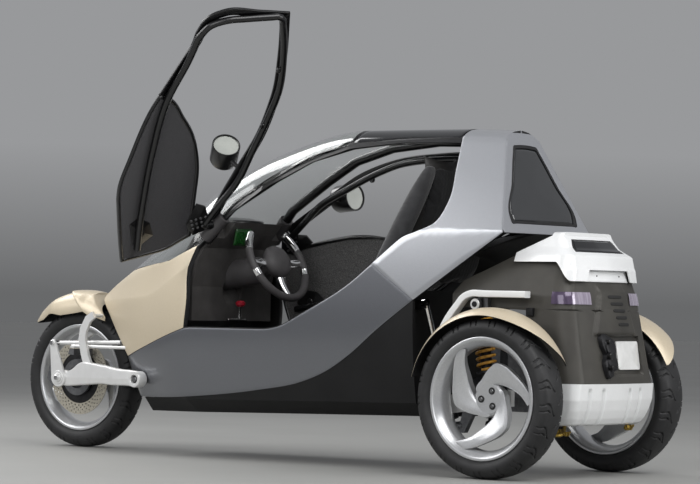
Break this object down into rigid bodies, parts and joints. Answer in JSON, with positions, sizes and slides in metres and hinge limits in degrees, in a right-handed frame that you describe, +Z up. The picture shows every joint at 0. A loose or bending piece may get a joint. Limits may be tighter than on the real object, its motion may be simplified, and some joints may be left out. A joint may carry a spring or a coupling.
{
  "type": "three wheeled car",
  "caption": "Narrow enclosed vehicle whose cabin and front wheel lean on a rear module with two driven wheels; swing-up doors.",
  "frame": {"origin": "centre of the lower face of the rear jacking pad, under the middle of the rear axle", "axes": "+X forward, +Y to the vehicle's left, +Z up; the floor is 190 mm below the origin"},
  "size_m": [3.016, 1.4079, 1.7653],
  "materials": {
    "silver_frame": "satin silver paint",
    "cast_block": "as cast",
    "dark_cover": "fine grain",
    "silver_cap": "metallic silver",
    "dark_glass": "polished",
    "silver_cover": "satin silver",
    "lamp_lens": "clear tinted",
    "forged_alloy": "machined and blasted",
    "damper_body": "satin",
    "yellow_spring": "powder coat",
    "gold_paint": "metallic champagne",
    "tyre": "road rubber",
    "alloy_rim": "silver lacquer",
    "black_tub": "satin black",
    "silver_dark": "metallic grey silver",
    "silver_light": "metallic silver",
    "tinted_glass": "tinted",
    "black_liner": "satin black",
    "black_tube": "gloss black powder coat",
    "clear_glass": "polished",
    "dark_roof": "tinted",
    "dark_plastic": "grained",
    "grey_plastic": "grained",
    "seat_cloth": "woven",
    "black_gloss": "gloss",
    "dark_steel": "satin",
    "chrome_rod": "polished"
  },
  "bodies": {
    "rear_module": {"module_frame": "silver_frame", "engine_block": "cast_block", "engine_cover": "dark_cover", "rear_cap": "silver_cap", "cap_window": "dark_glass", "lower_cover": "silver_cover", "tail_lamps": "lamp_lens", "trailing_arms": "forged_alloy", "dampers": "damper_body", "coil_springs": "yellow_spring", "rear_fenders": "gold_paint"},
    "rear_wheel_left": {"rear_tyre_left": "tyre", "rear_rim_left": "alloy_rim"},
    "rear_wheel_right": {"rear_tyre_right": "tyre", "rear_rim_right": "alloy_rim"},
    "cabin": {"belly_tub": "black_tub", "side_panels": "silver_dark", "nose_panel": "gold_paint", "rear_shell": "silver_light", "rear_window": "tinted_glass", "tail_liner": "black_liner", "pillar_frame": "black_tube", "windscreen": "clear_glass", "roof_panel": "dark_roof", "dashboard": "dark_plastic", "column_cover": "grey_plastic", "seats": "seat_cloth", "leading_arms": "forged_alloy", "reaction_rod": "forged_alloy", "fender_bracket": "forged_alloy", "front_fender": "gold_paint"},
    "knuckle": {"front_knuckle": "forged_alloy"},
    "front_wheel": {"front_tyre": "tyre", "front_rim": "alloy_rim"},
    "steering_wheel": {"steering_wheel": "dark_plastic"},
    "steering_link": {"steering_link": "forged_alloy"},
    "door_left": {"door_frame_left": "black_tube", "door_panel_left": "silver_dark", "mirror_left": "black_gloss"},
    "door_right": {"door_frame_right": "black_tube", "door_panel_right": "silver_dark", "mirror_right": "black_gloss"},
    "cylinder_barrel_left": {"cylinder_barrel_left": "dark_steel"},
    "cylinder_barrel_right": {"cylinder_barrel_right": "dark_steel"},
    "cylinder_rod_left": {"cylinder_rod_left": "chrome_rod"},
    "cylinder_rod_right": {"cylinder_rod_right": "chrome_rod"}
  },
  "joints": [
    {"name": "rear_spin_left", "type": "hinge", "parent": "rear_module", "child": "rear_wheel_left", "pos_m": [0, 0.43, 0.11], "axis": [0, 1, 0], "continuous": true},
    {"name": "rear_spin_right", "type": "hinge", "parent": "rear_module", "child": "rear_wheel_right", "pos_m": [0, -0.43, 0.11], "axis": [0, 1, 0], "continuous": true},
    {"name": "lean", "type": "hinge", "parent": "rear_module", "child": "cabin", "pos_m": [0.45, 0, 0.11], "axis": [0.9925, 0, -0.1222], "range_deg": [-45, 45]},
    {"name": "steer", "type": "hinge", "parent": "cabin", "child": "knuckle", "pos_m": [2.4, 0, 0.11], "axis": [0, 0, 1], "range_deg": [-15, 15]},
    {"name": "front_spin", "type": "hinge", "parent": "knuckle", "child": "front_wheel", "pos_m": [2.4, 0, 0.11], "axis": [0, 1, 0], "continuous": true},
    {"name": "steering_wheel_turn", "type": "hinge", "parent": "cabin", "child": "steering_wheel", "pos_m": [1.364, 0, 0.618], "axis": [-0.891, 0, 0.454], "range_deg": [-92, 92]},
    {"name": "link_slide", "type": "slide", "parent": "cabin", "child": "steering_link", "axis": [1, 0, 0], "range_m": [-0.045, 0.045]},
    {"name": "door_left_swing", "type": "hinge", "parent": "cabin", "child": "door_left", "pos_m": [1.518, 0.217, 0.76], "axis": [-0.6908, -0.143, 0.7088], "range_deg": [0, 90]},
    {"name": "door_right_swing", "type": "hinge", "parent": "cabin", "child": "door_right", "pos_m": [1.518, -0.217, 0.76], "axis": [-0.6908, 0.143, 0.7088], "range_deg": [0, 90]},
    {"name": "barrel_left_pivot", "type": "hinge", "parent": "rear_module", "child": "cylinder_barrel_left", "pos_m": [0.37163, 0.12, -0.01537], "axis": [0.9925, 0, -0.1222], "range_deg": [-40, 40]},
    {"name": "rod_left_slide", "type": "slide", "parent": "cylinder_barrel_left", "child": "cylinder_rod_left", "axis": [0.1179, 0.2624, 0.9577], "range_m": [-0.113, 0.113]},
    {"name": "barrel_right_pivot", "type": "hinge", "parent": "rear_module", "child": "cylinder_barrel_right", "pos_m": [0.37163, -0.12, -0.01537], "axis": [0.9925, 0, -0.1222], "range_deg": [-40, 40]},
    {"name": "rod_right_slide", "type": "slide", "parent": "cylinder_barrel_right", "child": "cylinder_rod_right", "axis": [0.1179, -0.2624, 0.9577], "range_m": [-0.113, 0.113]}
  ],
  "couplings": [
    {"joint": "steering_wheel_turn", "follows": "steer", "ratio": 6},
    {"joint": "link_slide", "follows": "steer", "m_per_rad": -0.168},
    {"joint": "barrel_left_pivot", "follows": "lean", "ratio": 0.832},
    {"joint": "rod_left_slide", "follows": "lean", "m_per_rad": 0.1426},
    {"joint": "barrel_right_pivot", "follows": "lean", "ratio": 0.832},
    {"joint": "rod_right_slide", "follows": "lean", "m_per_rad": -0.1426}
  ]
}
